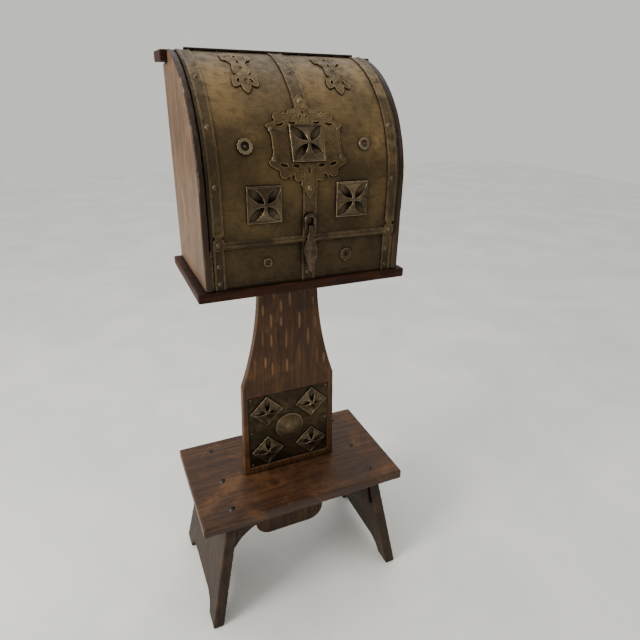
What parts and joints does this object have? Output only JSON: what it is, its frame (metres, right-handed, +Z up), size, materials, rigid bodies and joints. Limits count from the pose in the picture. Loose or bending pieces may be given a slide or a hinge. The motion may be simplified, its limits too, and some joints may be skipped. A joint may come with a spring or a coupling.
{
  "type": "donation box",
  "caption": "Metal-clad, round-fronted wooden donation box on a shaped plank post and splay-legged stool, with hinged lid, hasp and key lock.",
  "frame": {"origin": "on the floor, under the middle of the post and midway between the feet", "axes": "+Z up, -Y the side with the lid, hasp and keyhole, +X to the right of a person facing that side"},
  "size_m": [0.504, 0.316, 1.2476],
  "materials": {
    "wood_box": "dark red-brown stain with a worn satin varnish",
    "wood_post": "brown stain, hand-gouged, satin",
    "wood_seat": "golden brown, worn satin",
    "wood_leg": "grey-brown, worn",
    "wood_inner": "bare",
    "brass_sheet": "hammered, dark brown patina",
    "brass_strap": "dark patina, edges rubbed lighter",
    "brass_plate": "dark patina",
    "brass_boss": "hammered, aged",
    "iron_stud": "dark, rims rubbed lighter",
    "iron_hasp": "forged, dark",
    "rivet_metal": "dull, worn",
    "nail_iron": "dark",
    "hinge_brass": "dull",
    "lock_steel": "plain",
    "lock_brass": "dull"
  },
  "bodies": {
    "stand_and_box": {"stool_top": "wood_seat", "leg_left": "wood_leg", "leg_right": "wood_leg", "apron_front": "wood_leg", "apron_rear": "wood_leg", "seat_nails": "nail_iron", "tenon_cleats": "wood_post", "post": "wood_post", "plaque_plate": "brass_plate", "plaque_studs": "iron_stud", "plaque_boss": "brass_boss", "plaque_nails": "rivet_metal", "shelf": "wood_box", "shelf_screws": "nail_iron", "side_left": "wood_box", "side_right": "wood_box", "back_board": "wood_box", "top_board": "wood_box", "slot_plate": "brass_plate", "slot_nails": "rivet_metal", "top_nails": "nail_iron", "lower_panel": "wood_inner", "lower_sheet": "brass_sheet", "lower_side_straps": "brass_strap", "lower_centre_strap": "brass_strap", "lower_rivets": "rivet_metal", "ring_boss": "brass_boss", "keyhole_escutcheon": "brass_boss", "lock_case": "lock_steel", "lock_cover": "lock_steel", "lock_screws": "nail_iron", "hinge_leaf_fixed": "hinge_brass", "hinge_pin": "hinge_brass", "hinge_screws_fixed": "nail_iron"},
    "lid": {"lid_ribs": "wood_inner", "lid_top_rail": "wood_inner", "lid_bottom_rail": "wood_inner", "lid_sheet": "brass_sheet", "lid_edges": "brass_strap", "strap_left": "brass_strap", "strap_right": "brass_strap", "strap_centre": "brass_strap", "seam_moulding": "brass_strap", "cartouche": "brass_plate", "stud_centre": "iron_stud", "stud_left": "iron_stud", "stud_right": "iron_stud", "rosette_left": "brass_boss", "rosette_right": "brass_boss", "mount_left": "brass_plate", "mount_right": "brass_plate", "lid_rivets": "rivet_metal", "hasp_eye": "iron_hasp", "hinge_leaf_lid": "hinge_brass", "hinge_screws_lid": "nail_iron"},
    "hasp": {"hasp": "iron_hasp", "hasp_staple": "iron_hasp"},
    "lock_plug": {"lock_plug": "lock_brass"},
    "lock_bolt": {"lock_bolt": "lock_steel"}
  },
  "joints": [
    {"name": "lid_hinge", "type": "hinge", "parent": "stand_and_box", "child": "lid", "pos_m": [0, 0.061, 1.2452], "axis": [-1, 0, 0], "range_deg": [0, 100]},
    {"name": "hasp_swing", "type": "hinge", "parent": "lid", "child": "hasp", "pos_m": [0, -0.1318, 0.951], "axis": [-1, 0, 0], "range_deg": [0, 140]},
    {"name": "key_turn", "type": "hinge", "parent": "stand_and_box", "child": "lock_plug", "pos_m": [0.08, -0.118, 0.8886], "axis": [0, 1, 0], "range_deg": [0, 90]},
    {"name": "bolt_slide", "type": "slide", "parent": "stand_and_box", "child": "lock_bolt", "axis": [-1, 0, 0], "range_m": [0, 0.01273]}
  ],
  "couplings": [
    {"joint": "bolt_slide", "follows": "key_turn", "m_per_rad": 0.0081028}
  ]
}
